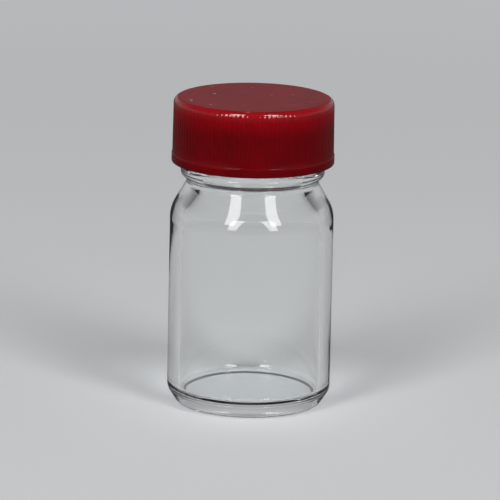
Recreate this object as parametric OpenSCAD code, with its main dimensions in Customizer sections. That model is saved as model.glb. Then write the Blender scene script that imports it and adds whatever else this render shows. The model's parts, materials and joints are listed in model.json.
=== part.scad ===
// Glass sample vial with a ribbed screw cap and a sealing liner.
// Millimetres, +Z up. The origin is at the centre of the base, on the surface that the
// vial stands on, and the cap is screwed down.

/* [Body] */
// Outside diameter of the straight body
body_d = 28; // [27:0.5:32]
// Height at which the straight body ends and the shoulder starts
body_h = 32.2; // [20:0.1:60]
// Thickness of the side wall
wall = 2; // [1.5:0.1:2.5]
// Height of the inside floor above the base
floor_z = 2.7; // [2:0.1:5]
// Rounding between the side wall and the inside floor
corner_r = 0.8; // [0.5:0.05:2]
// Height at which the straight side wall ends and the foot starts
heel_h = 3.2; // [2.8:0.1:4]
// Rounding between the side wall and the tapered foot
heel_r = 2.2; // [1:0.1:2.5]
// Angle between the tapered foot and the axis
foot_slope = 33; // [25:1:38]
// Rounding between the foot and the standing ring
foot_r = 1; // [0.4:0.1:1.2]
// Width of the flat ring that the vial stands on
stand_w = 0.6; // [0.6:0.1:2]
// Depth of the flat hollow under the base
push_up = 0.4; // [0.2:0.1:0.5]
// Width of the rounded step between the standing ring and the hollow
hollow_edge_w = 0.5; // [0.5:0.1:2]

/* [Shoulder] */
// Angle between the shoulder's cone and the axis, outside
slope_out = 30; // [25:1:35]
// Rounding between body and shoulder, outside
shoulder_r = 6; // [4:0.5:7]
// Angle between the shoulder's cone and the axis, inside
slope_in = 38; // [32:1:42]
// Rounding between body and shoulder, inside
shoulder_in_r = 5; // [3:0.5:5]
// How far the inside shoulder starts below the outside one
shoulder_drop = 0.9; // [0:0.1:2]
// Rounding between the inside shoulder and the bore of the neck
throat_r = 2.5; // [1:0.5:3]

/* [Neck] */
// Height of the bead's widest line above the straight body
bead_rise = 8.3; // [8:0.1:10]
// Outside diameter of the bead
bead_d = 24.6; // [24:0.1:25]
// Rounding of the bead
bead_r = 1.05; // [0.9:0.05:1.3]
// Rounding of the groove between bead and shoulder
groove_r = 1; // [0.5:0.1:1.2]
// Height of the rim above the bead's widest line
neck_h = 10.4; // [9.8:0.1:12]
// Outside diameter of the neck, at the roots of its thread
neck_d = 21.74; // [21:0.02:21.8]
// Diameter of the bore through the neck
bore_d = 17; // [14:0.5:18]
// Rounding of the rim's edges
rim_r = 0.5; // [0.3:0.1:0.8]

/* [Cap] */
// Diameter of the smooth band at the cap's lower edge
cap_d = 27.8; // [27.5:0.1:29]
// Height of the cap
cap_h = 11.2; // [10.8:0.1:11.4]
// Thickness of the cap's flat top
cap_top = 1.3; // [1:0.1:1.5]
// Diameter of the bore that the neck goes into
cap_bore_d = 24.2; // [24:0.1:24.6]
// Height of the smooth band
band_h = 1.6; // [1:0.1:2]
// How far the band stands out from the ribs
band_step = 0.16; // [0.06:0.01:0.2]
// Number of ribs round the cap
rib_count = 104; // [60:2:120]
// Depth of the grooves between the ribs
rib_depth = 0.12; // [0.1:0.01:0.2]
// Rounding of the cap's upper edge
cap_edge_r = 1.1; // [0.6:0.1:1.2]
// Rounding of the cap's lower edge
band_edge_r = 0.25; // [0.1:0.05:0.4]

/* [Liner] */
// Diameter of the sealing liner
liner_d = 23.8; // [22:0.1:23.8]
// Thickness of the sealing liner
liner_t = 1; // [0.5:0.1:1.2]

/* [Hidden] */
$fn = 128;
arc_steps = 10; // flats along each rounded edge in a section
clear = 1; // how far a cutting solid runs past the face that it opens
rib_inset = 0.03; // how far the crests of the ribs lie inside the edges above and below them

body_r = body_d / 2;
in_r = body_r - wall;
bore_r = bore_d / 2;
neck_r = neck_d / 2;
bead_z = body_h + bead_rise;
rim_z = bead_z + neck_h;
liner_z = rim_z;
cap_in_z = liner_z + liner_t;
cap_z = cap_in_z + cap_top - cap_h;
cap_end_z = cap_z + cap_h;
skirt_r = cap_d / 2 - band_step; // of the edges that the ribs run between
rib_r = skirt_r - rib_inset;
rib_z = cap_z + band_h;
edge_z = cap_end_z - cap_edge_r;
rib_pitch = 360 / rib_count;

// Points of an arc about centre c, from angle a to angle b
function arc(c, r, a, b) = [
    for (i = [0 : arc_steps])
        let (t = a + (b - a) * i / arc_steps)
        c + r * [cos(t), sin(t)]
];

// The point where a rounding of radius r, whose centre is at height z, hands over to the
// shoulder's cone of this slope. wall_r is the radius that the rounding starts from.
function cone_start(wall_r, z, r, slope) = [wall_r - r * (1 - cos(slope)), z + r * sin(slope)];

// Centre of the groove's rounding. It touches the outside cone, so it lies on a line
// parallel to the cone, and it touches the bead's rounding, so it lies on a circle about
// the bead's centre. The two meet where a quadratic in the distance s along the line is 0.
function groove_centre(cone, bead_c) =
    let (
        along = [-sin(slope_out), cos(slope_out)],
        start = cone + groove_r * [cos(slope_out), sin(slope_out)] - bead_c,
        b = start * along,
        s = -b - sqrt(b * b - start * start + pow(bead_r + groove_r, 2))
    )
    bead_c + start + s * along;

// Half section of the glass, as [radius, height]: from the hollow under the base up the
// outside, over the rim and down the inside to the floor
function glass_section() =
    let (
        foot_top = [body_r - heel_r * (1 - cos(foot_slope)), heel_h - heel_r * sin(foot_slope)],
        foot_z = foot_r * (1 - sin(foot_slope)),
        stand_r = foot_top[0] - (foot_top[1] - foot_z) * tan(foot_slope) - foot_r * cos(foot_slope),
        hollow_a = stand_r - stand_w - hollow_edge_w,
        step_r = (pow(hollow_edge_w, 2) + pow(push_up, 2)) / (2 * push_up),
        step_angle = asin(hollow_edge_w / step_r),
        bead_c = [bead_d / 2 - bead_r, bead_z],
        cone = cone_start(body_r, body_h, shoulder_r, slope_out),
        groove_c = groove_centre(cone, bead_c),
        to_bead = bead_c - groove_c,
        touch = atan2(to_bead[1], to_bead[0]),
        in_z = body_h - shoulder_drop,
        in_cone = cone_start(in_r, in_z, shoulder_in_r, slope_in),
        throat_end = bore_r + throat_r * (1 - cos(slope_in)),
        throat_c = [
            bore_r + throat_r,
            in_cone[1] + (in_cone[0] - throat_end) / tan(slope_in) + throat_r * sin(slope_in)
        ]
    )
    concat(
        [[0, push_up]],
        arc([hollow_a, push_up - step_r], step_r, 90, 90 - step_angle),
        arc([stand_r, foot_r], foot_r, -90, -foot_slope),
        arc([body_r - heel_r, heel_h], heel_r, -foot_slope, 0),
        arc([body_r - shoulder_r, body_h], shoulder_r, 0, slope_out),
        arc(groove_c, groove_r, 180 + slope_out, touch),
        arc(bead_c, bead_r, touch - 180, 90),
        [[neck_r, bead_z + bead_r]],
        arc([neck_r - rim_r, rim_z - rim_r], rim_r, 0, 90),
        arc([bore_r + rim_r, rim_z - rim_r], rim_r, 90, 180),
        arc(throat_c, throat_r, 180, 180 + slope_in),
        arc([in_r - shoulder_in_r, in_z], shoulder_in_r, slope_in, 0),
        arc([in_r - corner_r, floor_z + corner_r], corner_r, 0, -90),
        [[0, floor_z]]
    );

// One moulded piece of clear glass: body, shoulder, bead and neck
module glass_vial() {
    color("lightcyan", 0.45)
        rotate_extrude()
            polygon(glass_section());
}

// Flat disc that the rim of the glass presses on
module cap_liner() {
    color("ivory")
        translate([0, 0, liner_z])
            cylinder(h = liner_t, d = liner_d);
}

// Outline of the ribs: each has a flat crest, two flanks and a flat groove beside it
module rib_outline() {
    half_crest = 0.22 * rib_pitch;
    flank = 0.16 * rib_pitch;
    corners = [
        [rib_r, -half_crest],
        [rib_r, half_crest],
        [rib_r - rib_depth, half_crest + flank],
        [rib_r - rib_depth, rib_pitch - half_crest - flank]
    ];
    polygon([
        for (i = [0 : rib_count - 1], corner = corners)
            let (turn = i * rib_pitch + corner[1])
            corner[0] * [cos(turn), sin(turn)]
    ]);
}

// Half section of the cap without its ribs: smooth band, core under the ribs, and the
// rounded upper edge that the ribs run up to
function cap_section() =
    let (
        core_r = rib_r - 2 * rib_depth,
        band_r = cap_d / 2
    )
    concat(
        [[0, cap_z]],
        arc([band_r - band_edge_r, cap_z + band_edge_r], band_edge_r, -90, 0),
        [
            [band_r, rib_z - band_step],
            [skirt_r, rib_z],
            [core_r, rib_z],
            [core_r, edge_z]
        ],
        arc([skirt_r - cap_edge_r, edge_z], cap_edge_r, 0, 90),
        [[0, cap_end_z]]
    );

// The ribs reach a little into the band below them and the rounded edge above them
module ribs() {
    bite = 0.1;
    translate([0, 0, rib_z - bite])
        linear_extrude(height = edge_z - rib_z + 2 * bite)
            rib_outline();
}

// Moulded plastic cap: a ribbed skirt, a smooth band below it and a flat top
module screw_cap() {
    color("firebrick")
        difference() {
            union() {
                rotate_extrude()
                    polygon(cap_section());
                ribs();
            }
            translate([0, 0, cap_z - clear])
                cylinder(h = cap_in_z - cap_z + clear, d = cap_bore_d);
        }
}

glass_vial();
cap_liner();
screw_cap();
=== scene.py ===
"""Glass sample vial with a red ribbed screw cap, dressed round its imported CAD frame.

Each piece is one closed surface of revolution, worked out with numpy as points on a grid. The
rows of the grid follow a half section, as (radius, height), and its columns go round the axis.
Threads, ribs and the unevenness of the glass are added to the radius as functions of the angle
and the height. Everything is in metres, in the frame's own axes.
"""

import json
from math import asin, atan2, cos, pi, radians, sin, sqrt, tan

import bpy
import numpy as np
from bpy.props import FloatProperty, FloatVectorProperty, IntProperty, PointerProperty
from bpy.types import Operator, Panel, PropertyGroup
from mathutils import Matrix, Vector


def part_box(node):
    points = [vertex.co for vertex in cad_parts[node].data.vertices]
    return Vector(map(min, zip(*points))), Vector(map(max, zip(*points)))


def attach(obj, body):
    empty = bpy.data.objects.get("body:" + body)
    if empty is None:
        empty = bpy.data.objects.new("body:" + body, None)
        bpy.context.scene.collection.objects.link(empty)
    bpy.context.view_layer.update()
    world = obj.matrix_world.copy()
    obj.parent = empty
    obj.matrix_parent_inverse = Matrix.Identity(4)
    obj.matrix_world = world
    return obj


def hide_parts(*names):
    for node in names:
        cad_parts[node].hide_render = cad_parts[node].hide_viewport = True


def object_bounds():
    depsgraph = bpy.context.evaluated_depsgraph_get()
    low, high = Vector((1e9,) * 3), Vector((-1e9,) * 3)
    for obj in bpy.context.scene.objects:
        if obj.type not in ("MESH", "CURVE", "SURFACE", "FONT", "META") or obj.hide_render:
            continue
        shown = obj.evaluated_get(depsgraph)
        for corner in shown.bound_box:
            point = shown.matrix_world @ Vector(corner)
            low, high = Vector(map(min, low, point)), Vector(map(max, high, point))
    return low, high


bl_info = {
    "name": "Glass Sample Vial",
    "version": (1, 0, 0),
    "blender": (4, 5, 0),
    "location": "3D View > Sidebar > Sample Vial",
    "description": "A glass vial with a ribbed screw cap and its liner, on a plain studio stage",
    "category": "Add Mesh",
}

MM = 0.001
TURN = 2 * pi
CLOSE = 0.01 * MM  # two sizes that are this close count as the same
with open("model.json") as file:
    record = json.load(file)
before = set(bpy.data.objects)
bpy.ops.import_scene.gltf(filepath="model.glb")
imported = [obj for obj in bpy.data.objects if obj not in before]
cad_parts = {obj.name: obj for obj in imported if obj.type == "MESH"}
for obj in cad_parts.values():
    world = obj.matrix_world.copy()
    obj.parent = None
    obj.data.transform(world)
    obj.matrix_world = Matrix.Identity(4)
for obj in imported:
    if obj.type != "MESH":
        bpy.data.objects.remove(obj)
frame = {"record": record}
CAD_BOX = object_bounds()


def named(rows, name):
    """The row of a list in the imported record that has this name."""
    return next(row for row in rows if row["name"] == name)


# Sizes that the frame fixes
BODY = named(frame["record"]["mounts"], "body_outside")
BODY_R = BODY["dims"]["r_mm"] * MM
HEEL_Z = BODY["pos_m"][2] - BODY["dims"]["length_mm"] * MM / 2
SHOULDER_Z = BODY["pos_m"][2] + BODY["dims"]["length_mm"] * MM / 2
RIM_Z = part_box("glass_vial")[1].z
CAP_LOW, CAP_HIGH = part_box("screw_cap")
LINER_LOW, LINER_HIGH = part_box("cap_liner")
CAP_R = CAP_HIGH.x
LINER_R = LINER_HIGH.x
PITCH = frame["record"]["behaviour"]["couplings"][0]["ratio"] * TURN


def length(name, description, default):
    """A size in metres."""
    return FloatProperty(
        name=name, description=description, default=default, unit="LENGTH", subtype="DISTANCE"
    )


def angle(name, description, degrees):
    """An angle, held in radians and given here in degrees."""
    return FloatProperty(
        name=name, description=description, default=radians(degrees), unit="ROTATION", subtype="ANGLE"
    )


def colour(name, description, default):
    """A linear RGB colour."""
    return FloatVectorProperty(
        name=name, description=description, default=default, subtype="COLOR", size=3, min=0, max=1
    )


def factor(name, description, default, top=1.0):
    """A plain number from 0 up to top."""
    return FloatProperty(name=name, description=description, default=default, min=0, max=top)


class VialGlassSettings(PropertyGroup):
    """Sizes and colour of the moulded glass."""

    wall: length("Wall", "Thickness of the side wall", 2.0 * MM)
    floor_z: length("Floor height", "Height of the inside floor above the base", 2.7 * MM)
    floor_dome: length("Floor dome", "How far the inside floor rises at its centre", 0.05 * MM)
    corner_r: length("Corner", "Rounding between side wall and floor", 0.8 * MM)
    stand_w: length("Standing ring", "Width of the ring that the vial stands on", 0.6 * MM)
    heel_r: length("Heel rounding", "Rounding between the side wall and the tapered foot", 2.2 * MM)
    foot_slope: angle("Foot slope", "Angle of the tapered foot to the axis", 33)
    foot_r: length("Foot rounding", "Rounding between the foot and the standing ring", 1.0 * MM)
    push_up: length("Push-up", "Depth of the flat hollow under the base", 0.4 * MM)
    hollow_edge_w: length("Hollow edge", "Width of the rounded step into the hollow", 0.5 * MM)
    slope_out: angle("Shoulder slope", "Angle of the outside shoulder to the axis", 30)
    shoulder_r: length("Shoulder rounding", "Rounding from body to shoulder, outside", 6 * MM)
    slope_in: angle("Inside slope", "Angle of the inside shoulder to the axis", 38)
    shoulder_in_r: length("Inside rounding", "Rounding from body to shoulder, inside", 5 * MM)
    shoulder_drop: length("Shoulder drop", "How far the inside shoulder starts below", 0.9 * MM)
    throat_r: length("Throat rounding", "Rounding from shoulder to bore", 2.5 * MM)
    bead_rise: length("Bead height", "Height of the bead above the straight body", 8.3 * MM)
    bead_d: length("Bead diameter", "Outside diameter of the bead", 24.6 * MM)
    bead_r: length("Bead rounding", "Rounding of the bead", 1.05 * MM)
    groove_r: length("Groove rounding", "Rounding of the groove under the bead", 1.0 * MM)
    neck_d: length("Neck diameter", "Diameter at the roots of the thread", 21.74 * MM)
    bore_d: length("Bore", "Diameter of the bore through the neck", 17 * MM)
    rim_r: length("Rim rounding", "Rounding of the rim's edges", 0.5 * MM)
    thread_depth: length("Thread depth", "How far the thread stands out", 1.07 * MM)
    thread_z: length("Thread start", "How far the thread starts below the rim", 6.6 * MM)
    thread_turns: factor("Thread turns", "Length of the thread in turns", 1.5, 3)
    thread_base: length("Thread base", "Width of the thread at its foot", 2.0 * MM)
    thread_crest: length("Thread crest", "Width of the thread's flat crest", 0.9 * MM)
    body_shift: length("Body shift", "How far the inside of the body is off centre", 0.03 * MM)
    shoulder_shift: length("Shoulder shift", "The same, added at the shoulder", 0.42 * MM)
    ripple: length("Ripple", "Unevenness of the inside wall", 0.03 * MM)
    tint: colour("Tint", "What the glass lets through at each surface", (0.985, 0.995, 0.992))
    refraction: factor("Refraction", "Index of refraction of the glass", 1.515, 3)
    wall_light: colour("Wall light", "What a wall lets through of a lamp's light", (0.96, 0.97, 0.97))
    foot_light: colour("Foot light", "The same for the thick foot", (0.30, 0.31, 0.33))
    slant_light: colour("Slant light", "The same for a wall that is met at a slant", (0.30, 0.31, 0.32))


class VialCapSettings(PropertyGroup):
    """Sizes and colours of the plastic cap and its liner."""

    bore_d: length("Bore", "Diameter of the bore that the neck goes into", 24.2 * MM)
    band_h: length("Band", "Height of the smooth band at the lower edge", 1.6 * MM)
    band_step: length("Band step", "How far the band stands out from the ribs", 0.1 * MM)
    band_edge_r: length("Band edge", "Rounding of the lower edge", 0.25 * MM)
    edge_r: length("Top edge", "Rounding of the upper edge", 1.1 * MM)
    draft: length("Draft", "How much the skirt's radius shrinks towards the top", 0.2 * MM)
    rib_count: IntProperty(name="Ribs", description="Ribs round the cap", default=104, min=20)
    rib_depth: length("Rib depth", "Depth of the grooves between the ribs", 0.055 * MM)
    rib_start: length("Rib start", "Height in which the grooves deepen above the band", 0.25 * MM)
    rib_past: length("Rib overrun", "How far the full grooves run into the top edge", 0.35 * MM)
    rib_end: length("Rib end", "Height in which the grooves then run out", 0.3 * MM)
    thread_depth: length("Thread depth", "How far the thread stands in", 0.85 * MM)
    thread_z: length("Thread start", "How far the thread starts above the lower edge", 1.35 * MM)
    thread_turns: factor("Thread turns", "Length of the thread in turns", 1.5, 3)
    thread_base: length("Thread base", "Width of the thread at its foot", 1.6 * MM)
    thread_crest: length("Thread crest", "Width of the thread's flat crest", 0.8 * MM)
    plastic: colour("Plastic", "Colour of the cap", (0.180, 0.0002, 0.0027))
    dust: colour("Dust", "Colour of the specks on the top", (0.5, 0.33, 0.33))
    liner: colour("Liner", "Colour of the liner's foam", (0.78, 0.76, 0.69))
    liner_edge_r: length("Liner edge", "Rounding of the liner's edges", 0.2 * MM)
    liner_gap: length("Liner gap", "Gap above and below the liner", 0.02 * MM)
    ring_in: length("Ring inner radius", "Where the ring pressed by the rim starts", 8.3 * MM)
    ring_out: length("Ring outer radius", "Where the ring pressed by the rim ends", 11.2 * MM)
    ring_edge: length("Ring edge", "Width of the ring's sloping edges", 0.5 * MM)
    ring_depth: length("Ring depth", "How deep the rim has pressed the ring", 0.05 * MM)


class VialStageSettings(PropertyGroup):
    """Floor, world, lamps and camera."""

    floor: colour("Floor", "Colour of the floor", (0.70, 0.71, 0.72))
    bounce: colour("Floor bounce", "Colour of the light that the floor sends back", (0.10, 0.102, 0.105))
    glow_near: length("Glow start", "Distance from the vial at which the floor starts to glow", 0.10)
    glow_far: length("Glow end", "Distance from which the floor glows evenly", 0.55)
    backdrop: colour("Backdrop", "Colour behind the vial, far away", (0.50, 0.51, 0.52))
    backdrop_light: factor("Backdrop light", "Share of the backdrop that lights the vial", 0.45)
    fade_low: angle("Fade start", "Elevation at which the backdrop starts to darken", 8)
    fade_high: angle("Fade end", "Elevation at which it has passed into the room", 40)
    room: colour("Room", "Colour of the room above and in front", (0.07, 0.071, 0.073))
    left_azimuth: angle("Left lamp", "Angle of the left lamp from the camera's side", -32)
    right_azimuth: angle("Right lamp", "Angle of the right lamp from the camera's side", 36)
    lamp_height: angle("Lamp elevation", "Elevation of the lamps above the floor", 40.5)
    lamp_away: length("Lamp distance", "Distance from the vial to each lamp", 2.0)
    lamp_w: length("Lamp width", "Width of each lamp", 0.52)
    lamp_h: length("Lamp length", "Length of each lamp", 1.78)
    lamp_glow: factor("Lamp brightness", "Radiance of each lamp's face", 8.0, 100)
    reflections: IntProperty(
        name="Reflections", description="How often light may reflect inside the glass", default=8, min=4
    )
    camera_back: length("Camera distance", "How far the camera stands in front", 770 * MM)
    camera_up: length("Camera height", "Height of the camera above the floor", 206.8 * MM)
    camera_side: length("Camera offset", "How far the camera stands to the right", -0.18 * MM)
    camera_tilt: angle("Camera tilt", "How far the camera looks down", 13.18)
    camera_roll: angle("Camera roll", "How far the camera is turned about its own axis", 1.2)
    lens: factor("Lens", "Focal length of the lens in millimetres", 332.25, 1000)


# Half sections and grids


def arc(centre, radius, start, end, step=radians(5)):
    """Points centre + radius * (cos t, sin t), for t in even steps from start to end."""
    t = np.linspace(start, end, int(np.ceil(abs(end - start) / step)) + 1)
    return np.array(centre) + radius * np.column_stack([np.cos(t), np.sin(t)])


def line(start, end, rows):
    """Evenly spaced points between start and end, without the two ends."""
    t = np.linspace(0, 1, rows + 2)[1:-1, None]
    return (1 - t) * np.array(start) + t * np.array(end)


def joined(*pieces):
    """One half section from arcs and single points, with rows set along the straight stretches.

    A number between two pieces says how many rows the straight stretch between them gets. A
    point that falls on the one before it is left out.
    """
    same = 1e-7
    rows = [np.atleast_2d(pieces[0])]
    for gap, piece in zip(pieces[1::2], pieces[2::2]):
        piece = np.atleast_2d(piece)
        if gap:
            rows.append(line(rows[-1][-1], piece[0], gap))
        rows.append(piece)
    path = np.concatenate(rows)
    step = np.linalg.norm(np.diff(path, axis=0), axis=1)
    return path[np.concatenate([[True], step > same])]


def smooth(x):
    """0 below 0, 1 above 1, and 3x^2 - 2x^3 between."""
    x = np.clip(x, 0, 1)
    return x * x * (3 - 2 * x)


def round_grid(path, columns):
    """Radius, angle and height of each grid point: the path's rows, carried round the axis."""
    theta = np.linspace(0, TURN, columns, endpoint=False)[None, :]
    radius = path[:, :1] + 0 * theta
    height = path[:, 1:] + 0 * theta
    return radius, theta + 0 * radius, height


def thread_height(theta, z, low, turns, base, crest, run_out=0.12):
    """How much of a right-handed thread stands at each point, from 0 to 1.

    The ridge's middle line is at height low + pitch * t, where t is the number of turns since
    its start. Across the ridge the height goes smoothly from 1 within half the crest's width of
    that line to 0 at half the base's width. Along it, both ends run out over a part of a turn.
    """
    height = np.zeros_like(theta)
    for passage in range(int(np.ceil(turns)) + 1):
        t = theta / TURN + passage
        off = np.abs(z - low - PITCH * t)
        across = smooth((base / 2 - off) / (base / 2 - crest / 2))
        along = smooth(t / run_out) * smooth((turns - t) / run_out)
        height = np.maximum(height, across * along)
    return height


def closed_surface(name, radius, theta, z):
    """One closed mesh from a grid of rings. The first and the last row are poles on the axis.

    Faces point outwards where the rows go up the outside of the solid and down its inside.
    """
    points = np.stack([radius * np.cos(theta), radius * np.sin(theta), z], axis=-1)
    rows, columns = theta.shape
    vertices = np.concatenate([points[:1, 0], points[1:-1].reshape(-1, 3), points[-1:, 0]])
    here = np.arange(columns)
    after = np.roll(here, -1)
    start = 1 + columns * np.arange(rows - 3)[:, None]
    quads = np.stack(
        [start + here, start + after, start + columns + after, start + columns + here], axis=-1
    )
    last = 1 + columns * (rows - 3)
    first_fan = np.stack([0 * here, 1 + after, 1 + here], axis=-1)
    last_fan = np.stack([last + here, last + after, 0 * here + len(vertices) - 1], axis=-1)
    faces = quads.reshape(-1, 4).tolist() + first_fan.tolist() + last_fan.tolist()
    mesh = bpy.data.meshes.new(name)
    mesh.from_pydata(vertices.tolist(), [], faces)
    mesh.polygons.foreach_set("use_smooth", np.ones(len(faces), bool))
    mesh.update()
    piece = bpy.data.objects.new(name, mesh)
    bpy.context.scene.collection.objects.link(piece)
    return piece


def groove_centre(s, cone, bead_c):
    """Centre of the rounding between shoulder and bead.

    It lies on a line parallel to the outside cone, one rounding away from it, and on a circle
    about the bead's centre that lets the two roundings touch. The distance along the line is
    the lower root of a quadratic.
    """
    across = np.array([cos(s.slope_out), sin(s.slope_out)])
    along = np.array([-sin(s.slope_out), cos(s.slope_out)])
    start = cone + s.groove_r * across - bead_c
    half = start @ along
    reach = s.bead_r + s.groove_r
    return bead_c + start - (half + sqrt(half**2 - start @ start + reach**2)) * along


def glass_outside(s):
    """Half section of the glass from the centre of the base up to the inner edge of the rim.

    A flat hollow, its rounded step, the standing ring, the foot's rounding and taper, the
    heel's rounding, the straight body, the shoulder's rounding and cone, the groove, the bead,
    the neck, and the rounded rim.
    """
    taper = (BODY_R - s.heel_r * (1 - cos(s.foot_slope)), HEEL_Z - s.heel_r * sin(s.foot_slope))
    foot_z = s.foot_r * (1 - sin(s.foot_slope))
    stand_r = taper[0] - (taper[1] - foot_z) * tan(s.foot_slope) - s.foot_r * cos(s.foot_slope)
    hollow_a = stand_r - s.stand_w - s.hollow_edge_w
    step_r = (s.hollow_edge_w**2 + s.push_up**2) / (2 * s.push_up)
    step_angle = asin(s.hollow_edge_w / step_r)
    bead_c = np.array([s.bead_d / 2 - s.bead_r, SHOULDER_Z + s.bead_rise])
    cone = np.array(
        [BODY_R - s.shoulder_r * (1 - cos(s.slope_out)), SHOULDER_Z + s.shoulder_r * sin(s.slope_out)]
    )
    groove_c = groove_centre(s, cone, bead_c)
    touch = atan2(*(bead_c - groove_c)[::-1])
    neck_r = s.neck_d / 2
    bore_r = s.bore_d / 2
    return joined(
        (0, s.push_up),
        14,
        arc((hollow_a, s.push_up - step_r), step_r, pi / 2, pi / 2 - step_angle),
        1,
        arc((stand_r, s.foot_r), s.foot_r, -pi / 2, -s.foot_slope),
        6,
        arc((BODY_R - s.heel_r, HEEL_Z), s.heel_r, -s.foot_slope, 0, radians(3)),
        20,
        arc((BODY_R - s.shoulder_r, SHOULDER_Z), s.shoulder_r, 0, s.slope_out, radians(3)),
        8,
        arc(groove_c, s.groove_r, pi + s.slope_out, touch),
        0,
        arc(bead_c, s.bead_r, touch - pi, pi / 2),
        0,
        (neck_r, bead_c[1] + s.bead_r),
        68,
        arc((neck_r - s.rim_r, RIM_Z - s.rim_r), s.rim_r, 0, pi / 2, radians(8)),
        1,
        arc((bore_r + s.rim_r, RIM_Z - s.rim_r), s.rim_r, pi / 2, pi, radians(8)),
    )


def glass_inside(s):
    """Half section of the glass from the rim down the bore to the centre of the inside floor.

    The bore, the throat's rounding, the inside cone and its rounding, the straight wall, the
    rounded corner, and a floor that rises a little towards its centre.
    """
    bore_r = s.bore_d / 2
    in_r = BODY_R - s.wall
    low = SHOULDER_Z - s.shoulder_drop
    cone_r = in_r - s.shoulder_in_r * (1 - cos(s.slope_in))
    cone_z = low + s.shoulder_in_r * sin(s.slope_in)
    throat_end = bore_r + s.throat_r * (1 - cos(s.slope_in))
    throat_z = cone_z + (cone_r - throat_end) / tan(s.slope_in) + s.throat_r * sin(s.slope_in)
    floor_a = in_r - s.corner_r
    dome_r = (floor_a**2 + s.floor_dome**2) / (2 * s.floor_dome)
    dome_half = asin(floor_a / dome_r)
    dome_c = (0, s.floor_z + s.floor_dome - dome_r)
    return joined(
        (bore_r, RIM_Z - s.rim_r),
        12,
        arc((bore_r + s.throat_r, throat_z), s.throat_r, pi, pi + s.slope_in),
        6,
        arc((in_r - s.shoulder_in_r, low), s.shoulder_in_r, s.slope_in, 0, radians(3)),
        20,
        arc((floor_a, s.floor_z + s.corner_r), s.corner_r, 0, -pi / 2),
        0,
        arc(dome_c, dome_r, pi / 2 - dome_half, pi / 2, dome_half / 14),
    )


def uneven(s, radius, theta, z):
    """Radius of the inside, which the mould doesn't touch, with its unevenness.

    Every ring is shifted to one side, more at the shoulder than lower down, and its radius
    swells two and three times round, in slow waves that turn with the height. All of it fades
    to nothing at the neck's bore and at the axis.
    """
    above = z - SHOULDER_Z
    fading = 1 - smooth((above - 4.5 * MM) / (3 * MM))
    at_shoulder = np.exp(-(((above - 1.5 * MM) / (3.5 * MM)) ** 2))
    thin_side = radians(270)
    shift = (s.body_shift + s.shoulder_shift * at_shoulder) * np.cos(theta - thin_side)
    two = np.cos(2 * theta + z / (6 * MM))
    three = 0.6 * np.cos(3 * theta - z / (8 * MM) + 1)
    share = radius / (BODY_R - s.wall)
    return radius + fading * share * (shift + s.ripple * (two + three))


def make_glass(s):
    """The glass vial: both half sections, carried round, with the thread on the neck."""
    columns = 256
    radius, theta, z = round_grid(glass_outside(s), columns)
    low = RIM_Z - s.thread_z
    thread = thread_height(theta, z, low, s.thread_turns, s.thread_base, s.thread_crest)
    on_neck = z > SHOULDER_Z + s.bead_rise + s.bead_r
    outer = radius > s.bore_d / 2 + s.rim_r
    radius = radius + s.thread_depth * thread * on_neck * outer
    inner, inner_theta, inner_z = round_grid(glass_inside(s)[1:], columns)
    inner = uneven(s, inner, inner_theta, inner_z)
    return closed_surface(
        "moulded_glass",
        np.concatenate([radius, inner]),
        np.concatenate([theta, inner_theta]),
        np.concatenate([z, inner_z]),
    )


def cap_path(s):
    """Half section of the cap, from the middle of its ceiling over the outside to its top.

    The flat ceiling, the bore, the lower edge, the smooth band, the ledge where the ribs end,
    the ribbed skirt, the rounded upper edge and the flat top.
    """
    bore_r = s.bore_d / 2
    ceiling = LINER_HIGH.z
    ledge = CAP_LOW.z + s.band_h
    ledge_r = CAP_R - s.band_step
    bevel = 0.02 * MM
    top_r = CAP_R - s.draft
    edge_z = CAP_HIGH.z - s.edge_r
    e = s.band_edge_r
    return joined(
        (0, ceiling),
        5,
        arc((bore_r - e, ceiling - e), e, pi / 2, 0, radians(30)),
        56,
        (bore_r, CAP_LOW.z + 2 * e),
        0,
        (bore_r + e, CAP_LOW.z),
        1,
        arc((CAP_R - e, CAP_LOW.z + e), e, -pi / 2, 0, radians(22)),
        2,
        (CAP_R, ledge - 3 * bevel),
        0,
        (CAP_R - bevel, ledge - bevel),
        0,
        (ledge_r, ledge),
        0,
        (ledge_r - 0.5 * bevel, ledge + 1.5 * bevel),
        6,
        (top_r, edge_z),
        0,
        arc((top_r - s.edge_r, edge_z), s.edge_r, 0, pi / 2, radians(5)),
        6,
        (0, CAP_HIGH.z),
    )


def make_cap(s):
    """The screw cap: its half section, carried round, with ribs outside and a thread inside.

    Across a rib the groove's depth goes with (0.5 - 0.5 cos)^1.6 of the angle, which leaves the
    crests broad. Eight columns make one rib.
    """
    radius, theta, z = round_grid(cap_path(s), 8 * s.rib_count)
    outer = radius > s.bore_d / 2 + 2 * s.band_edge_r
    from_ledge = z - CAP_LOW.z - s.band_h
    past_edge = z - CAP_HIGH.z + s.edge_r - s.rib_past
    ribbed = smooth(from_ledge / s.rib_start) * (1 - smooth(past_edge / s.rib_end))
    groove = (0.5 - 0.5 * np.cos(s.rib_count * theta)) ** 1.6
    radius = radius - s.rib_depth * groove * ribbed * outer
    low = CAP_LOW.z + s.thread_z
    thread = thread_height(theta, z, low, s.thread_turns, s.thread_base, s.thread_crest)
    inner = np.abs(radius - s.bore_d / 2) < CLOSE
    radius = radius - s.thread_depth * thread * inner
    return closed_surface("ribbed_cap", radius, theta, z)


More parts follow.
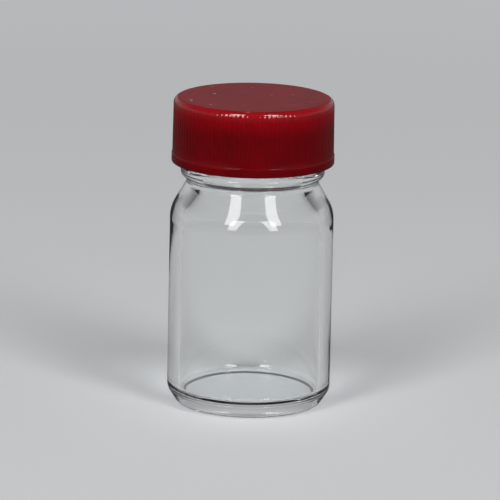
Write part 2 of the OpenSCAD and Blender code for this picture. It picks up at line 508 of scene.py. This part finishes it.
def make_liner(s):
    """The liner: a foam disc with rounded edges and a shallow ring pressed in by the rim."""
    edge = s.liner_edge_r
    low = LINER_LOW.z + s.liner_gap
    high = LINER_HIGH.z - s.liner_gap
    path = joined(
        (0, low),
        40,
        arc((LINER_R - edge, low + edge), edge, -pi / 2, 0, radians(18)),
        2,
        arc((LINER_R - edge, high - edge), edge, 0, pi / 2, radians(18)),
        6,
        (0, high),
    )
    radius, theta, z = round_grid(path, 128)
    pressed = smooth((radius - s.ring_in) / s.ring_edge) * smooth((s.ring_out - radius) / s.ring_edge)
    z = z + s.ring_depth * pressed * (z < low + CLOSE)
    return closed_surface("liner_disc", radius, theta, z)


# Shaders


class Socket:
    """An output socket. Sums, differences and products with it add Math nodes."""

    def __init__(self, shader, output):
        self.shader = shader
        self.output = output

    def math(self, operation, *values):
        """A Math node on these values, in the order of its inputs."""
        inputs = dict(enumerate(values))
        return self.shader.add("ShaderNodeMath", {"operation": operation}, inputs)[0]

    def __add__(self, other):
        return self.math("ADD", self, other)

    def __mul__(self, other):
        return self.math("MULTIPLY", self, other)

    def __sub__(self, other):
        return self.math("SUBTRACT", self, other)

    def __rsub__(self, other):
        return self.math("SUBTRACT", other, self)

    def __gt__(self, other):
        return self.math("GREATER_THAN", self, other)

    def clamp(self):
        """The value, held between 0 and 1."""
        return self.shader.add("ShaderNodeClamp", {}, {"Value": self})[0]

    __radd__ = __add__
    __rmul__ = __mul__


class Node:
    """A node, whose outputs are read by name or number as sockets."""

    def __init__(self, shader, node):
        self.shader = shader
        self.node = node

    def __getitem__(self, key):
        return Socket(self.shader, self.node.outputs[key])


class Shader:
    """The node tree of a material or a world, emptied."""

    def __init__(self, owner):
        owner.use_nodes = True
        self.tree = owner.node_tree
        self.tree.nodes.clear()

    def add(self, kind, settings=None, inputs=None):
        """A new node, with its outputs.

        The settings are its own properties, set first. The inputs are the values or links of
        its sockets, by name or number.
        """
        node = self.tree.nodes.new(kind)
        for key, value in (settings or {}).items():
            setattr(node, key, value)
        for key, value in (inputs or {}).items():
            socket = node.inputs[key]
            if isinstance(value, Socket):
                self.tree.links.new(value.output, socket)
            elif isinstance(value, (tuple, list)) and socket.type == "RGBA":
                socket.default_value = (*value, 1)
            else:
                socket.default_value = value
        return Node(self, node)

    def millimetres(self):
        """The piece's own coordinates, in millimetres."""
        place = self.add("ShaderNodeTexCoord")["Object"]
        return self.add("ShaderNodeVectorMath", {"operation": "SCALE"}, {0: place, "Scale": 1 / MM})[0]

    def height(self, place):
        """The height of a place."""
        return self.add("ShaderNodeSeparateXYZ", {}, {0: place})["Z"]

    def noise(self, place, size, detail=2.0, roughness=0.5):
        """Noise from 0 to 1 with blobs of this size, in the units of place."""
        inputs = {"Vector": place, "Scale": 1 / size, "Detail": detail, "Roughness": roughness}
        return self.add("ShaderNodeTexNoise", {}, inputs)["Fac"]

    def ramp(self, value, low, high):
        """0 where value is below low, 1 above high, and a smooth step between."""
        inputs = {"Value": value, "From Min": low, "From Max": high}
        return self.add("ShaderNodeMapRange", {"interpolation_type": "SMOOTHSTEP"}, inputs)[0]

    def blend(self, share, first, second):
        """A colour between first and second, by share."""
        settings = {"data_type": "RGBA"}
        return self.add("ShaderNodeMix", settings, {0: share, 6: first, 7: second})[2]

    def bump(self, height, depth, strength=1.0):
        """A normal from a height field that is depth metres deep."""
        inputs = {"Height": height, "Distance": depth, "Strength": strength}
        return self.add("ShaderNodeBump", {}, inputs)["Normal"]

    def seen(self):
        """1 for what the camera sees directly or through glass, 0 for all other light."""
        ray = self.add("ShaderNodeLightPath")
        return (ray["Is Camera Ray"] + ray["Is Transmission Ray"]).clamp()

    def surface(self, shader):
        """Makes this shader the material's surface."""
        self.add("ShaderNodeOutputMaterial", {}, {"Surface": shader})


def scaled(rgb, share):
    """A colour times a number, held at 1."""
    return tuple(min(share * c, 1) for c in rgb)


def glass_material(s):
    """Clear moulded glass with very slight ripples.

    A lamp's light goes straight through it, and loses more in the foot and in walls at a slant.
    """
    material = bpy.data.materials.new("clear_glass")
    shader = Shader(material)
    place = shader.millimetres()
    ripples = shader.noise(place, 3.0, 1.0)
    glass = shader.add(
        "ShaderNodeBsdfPrincipled",
        {},
        {
            "Base Color": tuple(s.tint),
            "Roughness": 0.0,
            "IOR": s.refraction,
            "Transmission Weight": 1.0,
            "Normal": shader.bump(ripples, 0.02 * MM, 0.35),
        },
    )[0]
    wall = shader.ramp(shader.height(place), 0.6, 2.2)
    slant = shader.add("ShaderNodeLayerWeight", {}, {"Blend": 0.5})["Facing"]
    light = shader.blend(1 - wall, tuple(s.wall_light), tuple(s.foot_light))
    light = shader.blend(shader.ramp(slant, 0.3, 0.95), light, tuple(s.slant_light))
    through = shader.add("ShaderNodeBsdfTransparent", {}, {"Color": light})[0]
    lamp = shader.add("ShaderNodeLightPath")["Is Shadow Ray"]
    shader.surface(shader.add("ShaderNodeMixShader", {}, {0: lamp, 1: glass, 2: through})[0])
    return material


def plastic_material(s):
    """Red moulded plastic, a little translucent, with flow marks, fine grain and dusty crumbs.

    The base colour is painted brighter towards the upper edge, as painted light that stands in for
    the light that goes in there from two sides. The edge itself is worn to a polish, and the flat
    top is duller than the skirt.
    """
    material = bpy.data.materials.new("red_plastic")
    shader = Shader(material)
    place = shader.millimetres()
    height = shader.height(place)
    top = CAP_HIGH.z / MM
    on_top = height > (top - 0.1)
    flow = shader.noise(place, 6.0, 2.0)
    grain = shader.noise(place, 0.18, 3.0)
    scuffs = shader.noise(place, 1.1, 4.0, 0.6)
    crumbs = shader.add(
        "ShaderNodeTexVoronoi", {"voronoi_dimensions": "2D"}, {"Vector": place, "Scale": 0.3}
    )
    draw = shader.add("ShaderNodeSeparateColor", {}, {0: crumbs["Color"]})
    ragged = crumbs["Distance"] + 0.35 * shader.noise(place, 0.4, 3.0)
    small = 1 - shader.ramp(ragged, 0.2, 0.3)
    dust = small * (draw["Red"] > 0.7) * on_top * (0.35 + 0.5 * draw["Green"])
    red = shader.blend(shader.ramp(flow, 0.3, 0.7), scaled(s.plastic, 0.86), scaled(s.plastic, 1.12))
    # Painted light: the top 5 mm of the skirt get a base colour up to 1.85 times brighter, and the flat
    # top a fifth of that, in place of light entering the edge from two sides.
    glow = shader.ramp(height, top - 5, top - 1) * (1 - 0.8 * on_top)
    red = shader.blend(glow, red, scaled(s.plastic, 1.85))
    polished = shader.ramp(height, top - 1.9, top - 1.3) * (1 - on_top)
    plastic = shader.add(
        "ShaderNodeBsdfPrincipled",
        {},
        {
            "Base Color": shader.blend(dust, red, tuple(s.dust)),
            "Roughness": 0.1 + 0.1 * scuffs + 0.2 * on_top,
            "IOR": 1.49,
            "Specular IOR Level": 0.26,
            "Coat Weight": polished,
            "Coat Roughness": 0.08,
            "Subsurface Weight": 0.8,
            "Subsurface Radius": (1.0, 0.08, 0.08),
            "Subsurface Scale": 2.5 * MM,
            "Normal": shader.bump(grain, 0.01 * MM, 0.12),
        },
    )[0]
    shader.surface(plastic)
    return material


def liner_material(s):
    """White foamed plastic with a fine open grain."""
    material = bpy.data.materials.new("foam_liner")
    shader = Shader(material)
    place = shader.millimetres()
    cells = shader.noise(place, 0.12, 2.0)
    foam = shader.add(
        "ShaderNodeBsdfPrincipled",
        {},
        {
            "Base Color": shader.blend(cells, tuple(s.liner), scaled(s.liner, 1.06)),
            "Roughness": 0.7,
            "Normal": shader.bump(cells, 0.03 * MM, 0.6),
        },
    )[0]
    shader.surface(foam)
    return material


def dress(piece, material, body, node):
    """Gives a piece its material and its body, and hides the CAD node that it stands for."""
    piece.data.materials.append(material)
    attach(piece, body)
    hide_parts(node)


# Stage


def floor_material(s):
    """Matt pale paper near the vial, which passes into the backdrop's even glow behind it.

    The camera sees it pale, also through the glass. To all else it is darker, so that it
    throws little light back up at the vial.
    """
    material = bpy.data.materials.new("pale_floor")
    shader = Shader(material)
    place = shader.add("ShaderNodeTexCoord")["Object"]
    away = shader.add("ShaderNodeVectorMath", {"operation": "LENGTH"}, {0: place})["Value"]
    far = shader.ramp(away, s.glow_near, s.glow_far)
    seen = shader.seen()
    paper = shader.add(
        "ShaderNodeBsdfPrincipled",
        {},
        {
            "Base Color": shader.blend(seen, tuple(s.bounce), tuple(s.floor)),
            "Roughness": 0.9,
            "Specular IOR Level": 0.1,
        },
    )[0]
    even = shader.blend(seen, tuple(s.bounce), tuple(s.backdrop))
    glow = shader.add("ShaderNodeEmission", {}, {"Color": even, "Strength": 1.0})[0]
    shader.surface(shader.add("ShaderNodeMixShader", {}, {0: far, 1: paper, 2: glow})[0])
    return material


def make_floor(s):
    """A flat square floor, a hair below the vial so that the two surfaces never coincide."""
    reach = 8.0
    gap = 0.05 * MM
    corners = [(x * reach, y * reach, -gap) for x, y in ((-1, -1), (1, -1), (1, 1), (-1, 1))]
    mesh = bpy.data.meshes.new("floor")
    mesh.from_pydata(corners, [], [(0, 1, 2, 3)])
    mesh.materials.append(floor_material(s))
    floor = bpy.data.objects.new("floor", mesh)
    bpy.context.scene.collection.objects.link(floor)


def make_world(s):
    """A pale backdrop round the back and the sides, and a dim room overhead and in front.

    Reflections and soft light get less of the backdrop than the camera and the glass do.
    """
    world = bpy.data.worlds.new("studio")
    bpy.context.scene.world = world
    shader = Shader(world)
    direction = shader.add("ShaderNodeTexCoord")["Generated"]
    way = shader.add("ShaderNodeSeparateXYZ", {}, {0: direction})
    overhead = shader.ramp(way["Z"], sin(s.fade_low), sin(s.fade_high))
    around = shader.ramp(way["Y"], -1.0, -0.7)
    share = s.backdrop_light + (1 - s.backdrop_light) * shader.seen()
    shown = around * (1 - overhead) * share
    studio = shader.blend(shown, tuple(s.room), tuple(s.backdrop))
    light = shader.add("ShaderNodeBackground", {}, {"Color": studio, "Strength": 1.0})[0]
    shader.add("ShaderNodeOutputWorld", {}, {"Surface": light})


def make_lamp(s, name, azimuth):
    """An upright rectangular softbox that faces the middle of the vial."""
    lamp = bpy.data.lights.new(name, "AREA")
    lamp.shape = "RECTANGLE"
    lamp.size = s.lamp_w
    lamp.size_y = s.lamp_h
    lamp.energy = s.lamp_glow * pi * s.lamp_w * s.lamp_h
    holder = bpy.data.objects.new(name, lamp)
    middle = Vector((0, 0, CAD_BOX[1][2] / 2))
    flat = cos(s.lamp_height)
    way = Vector((flat * sin(azimuth), -flat * cos(azimuth), sin(s.lamp_height)))
    holder.location = middle + s.lamp_away * way
    holder.rotation_euler = way.to_track_quat("Z", "Y").to_euler()
    bpy.context.scene.collection.objects.link(holder)


def make_camera(s):
    """A long lens in front of the vial, looking a little down on it."""
    camera = bpy.data.cameras.new("camera")
    camera.lens = s.lens
    camera.sensor_width = 36
    camera.clip_start = 0.01
    holder = bpy.data.objects.new("camera", camera)
    turned = Matrix.Rotation(pi / 2 - s.camera_tilt, 4, "X") @ Matrix.Rotation(s.camera_roll, 4, "Z")
    holder.matrix_world = Matrix.Translation((s.camera_side, -s.camera_back, s.camera_up)) @ turned
    bpy.context.scene.collection.objects.link(holder)
    bpy.context.scene.camera = holder


class VIAL_OT_make_glass(Operator):
    """Make the moulded glass vial"""

    bl_idname = "sample_vial.make_glass"
    bl_label = "Glass Vial"

    def execute(self, context):
        s = context.scene.vial_glass
        dress(make_glass(s), glass_material(s), "vial", "glass_vial")
        return {"FINISHED"}


class VIAL_OT_make_cap(Operator):
    """Make the ribbed screw cap"""

    bl_idname = "sample_vial.make_cap"
    bl_label = "Screw Cap"

    def execute(self, context):
        s = context.scene.vial_cap
        dress(make_cap(s), plastic_material(s), "cap", "screw_cap")
        return {"FINISHED"}


class VIAL_OT_make_liner(Operator):
    """Make the sealing liner under the cap's top"""

    bl_idname = "sample_vial.make_liner"
    bl_label = "Cap Liner"

    def execute(self, context):
        s = context.scene.vial_cap
        dress(make_liner(s), liner_material(s), "liner", "cap_liner")
        return {"FINISHED"}


class VIAL_OT_make_stage(Operator):
    """Make the floor, the room, both lamps and the camera"""

    bl_idname = "sample_vial.make_stage"
    bl_label = "Stage"

    def execute(self, context):
        s = context.scene.vial_stage
        context.scene.view_settings.view_transform = "Standard"
        context.scene.cycles.glossy_bounces = s.reflections
        make_floor(s)
        make_world(s)
        make_lamp(s, "left_lamp", s.left_azimuth)
        make_lamp(s, "right_lamp", s.right_azimuth)
        make_camera(s)
        return {"FINISHED"}


MAKERS = (VIAL_OT_make_stage, VIAL_OT_make_glass, VIAL_OT_make_liner, VIAL_OT_make_cap)


class VIEW3D_PT_sample_vial(Panel):
    """Buttons and sizes of the sample vial"""

    bl_label = "Sample Vial"
    bl_space_type = "VIEW_3D"
    bl_region_type = "UI"
    bl_category = "Sample Vial"

    def draw(self, context):
        layout = self.layout
        for maker in MAKERS:
            layout.operator(maker.bl_idname)
        for settings in (context.scene.vial_glass, context.scene.vial_cap, context.scene.vial_stage):
            box = layout.box()
            for name in settings.__annotations__:
                box.prop(settings, name)


CLASSES = (VialGlassSettings, VialCapSettings, VialStageSettings, *MAKERS, VIEW3D_PT_sample_vial)


def register():
    """Registers the classes and gives the scene its three groups of settings."""
    for cls in CLASSES:
        bpy.utils.register_class(cls)
    bpy.types.Scene.vial_glass = PointerProperty(type=VialGlassSettings)
    bpy.types.Scene.vial_cap = PointerProperty(type=VialCapSettings)
    bpy.types.Scene.vial_stage = PointerProperty(type=VialStageSettings)


def unregister():
    """Takes away what register has made, in reverse."""
    del bpy.types.Scene.vial_stage
    del bpy.types.Scene.vial_cap
    del bpy.types.Scene.vial_glass
    for cls in reversed(CLASSES):
        bpy.utils.unregister_class(cls)


def main():
    register()
    bpy.ops.sample_vial.make_stage()
    bpy.ops.sample_vial.make_glass()
    bpy.ops.sample_vial.make_liner()
    bpy.ops.sample_vial.make_cap()


if __name__ == "__main__":
    main()
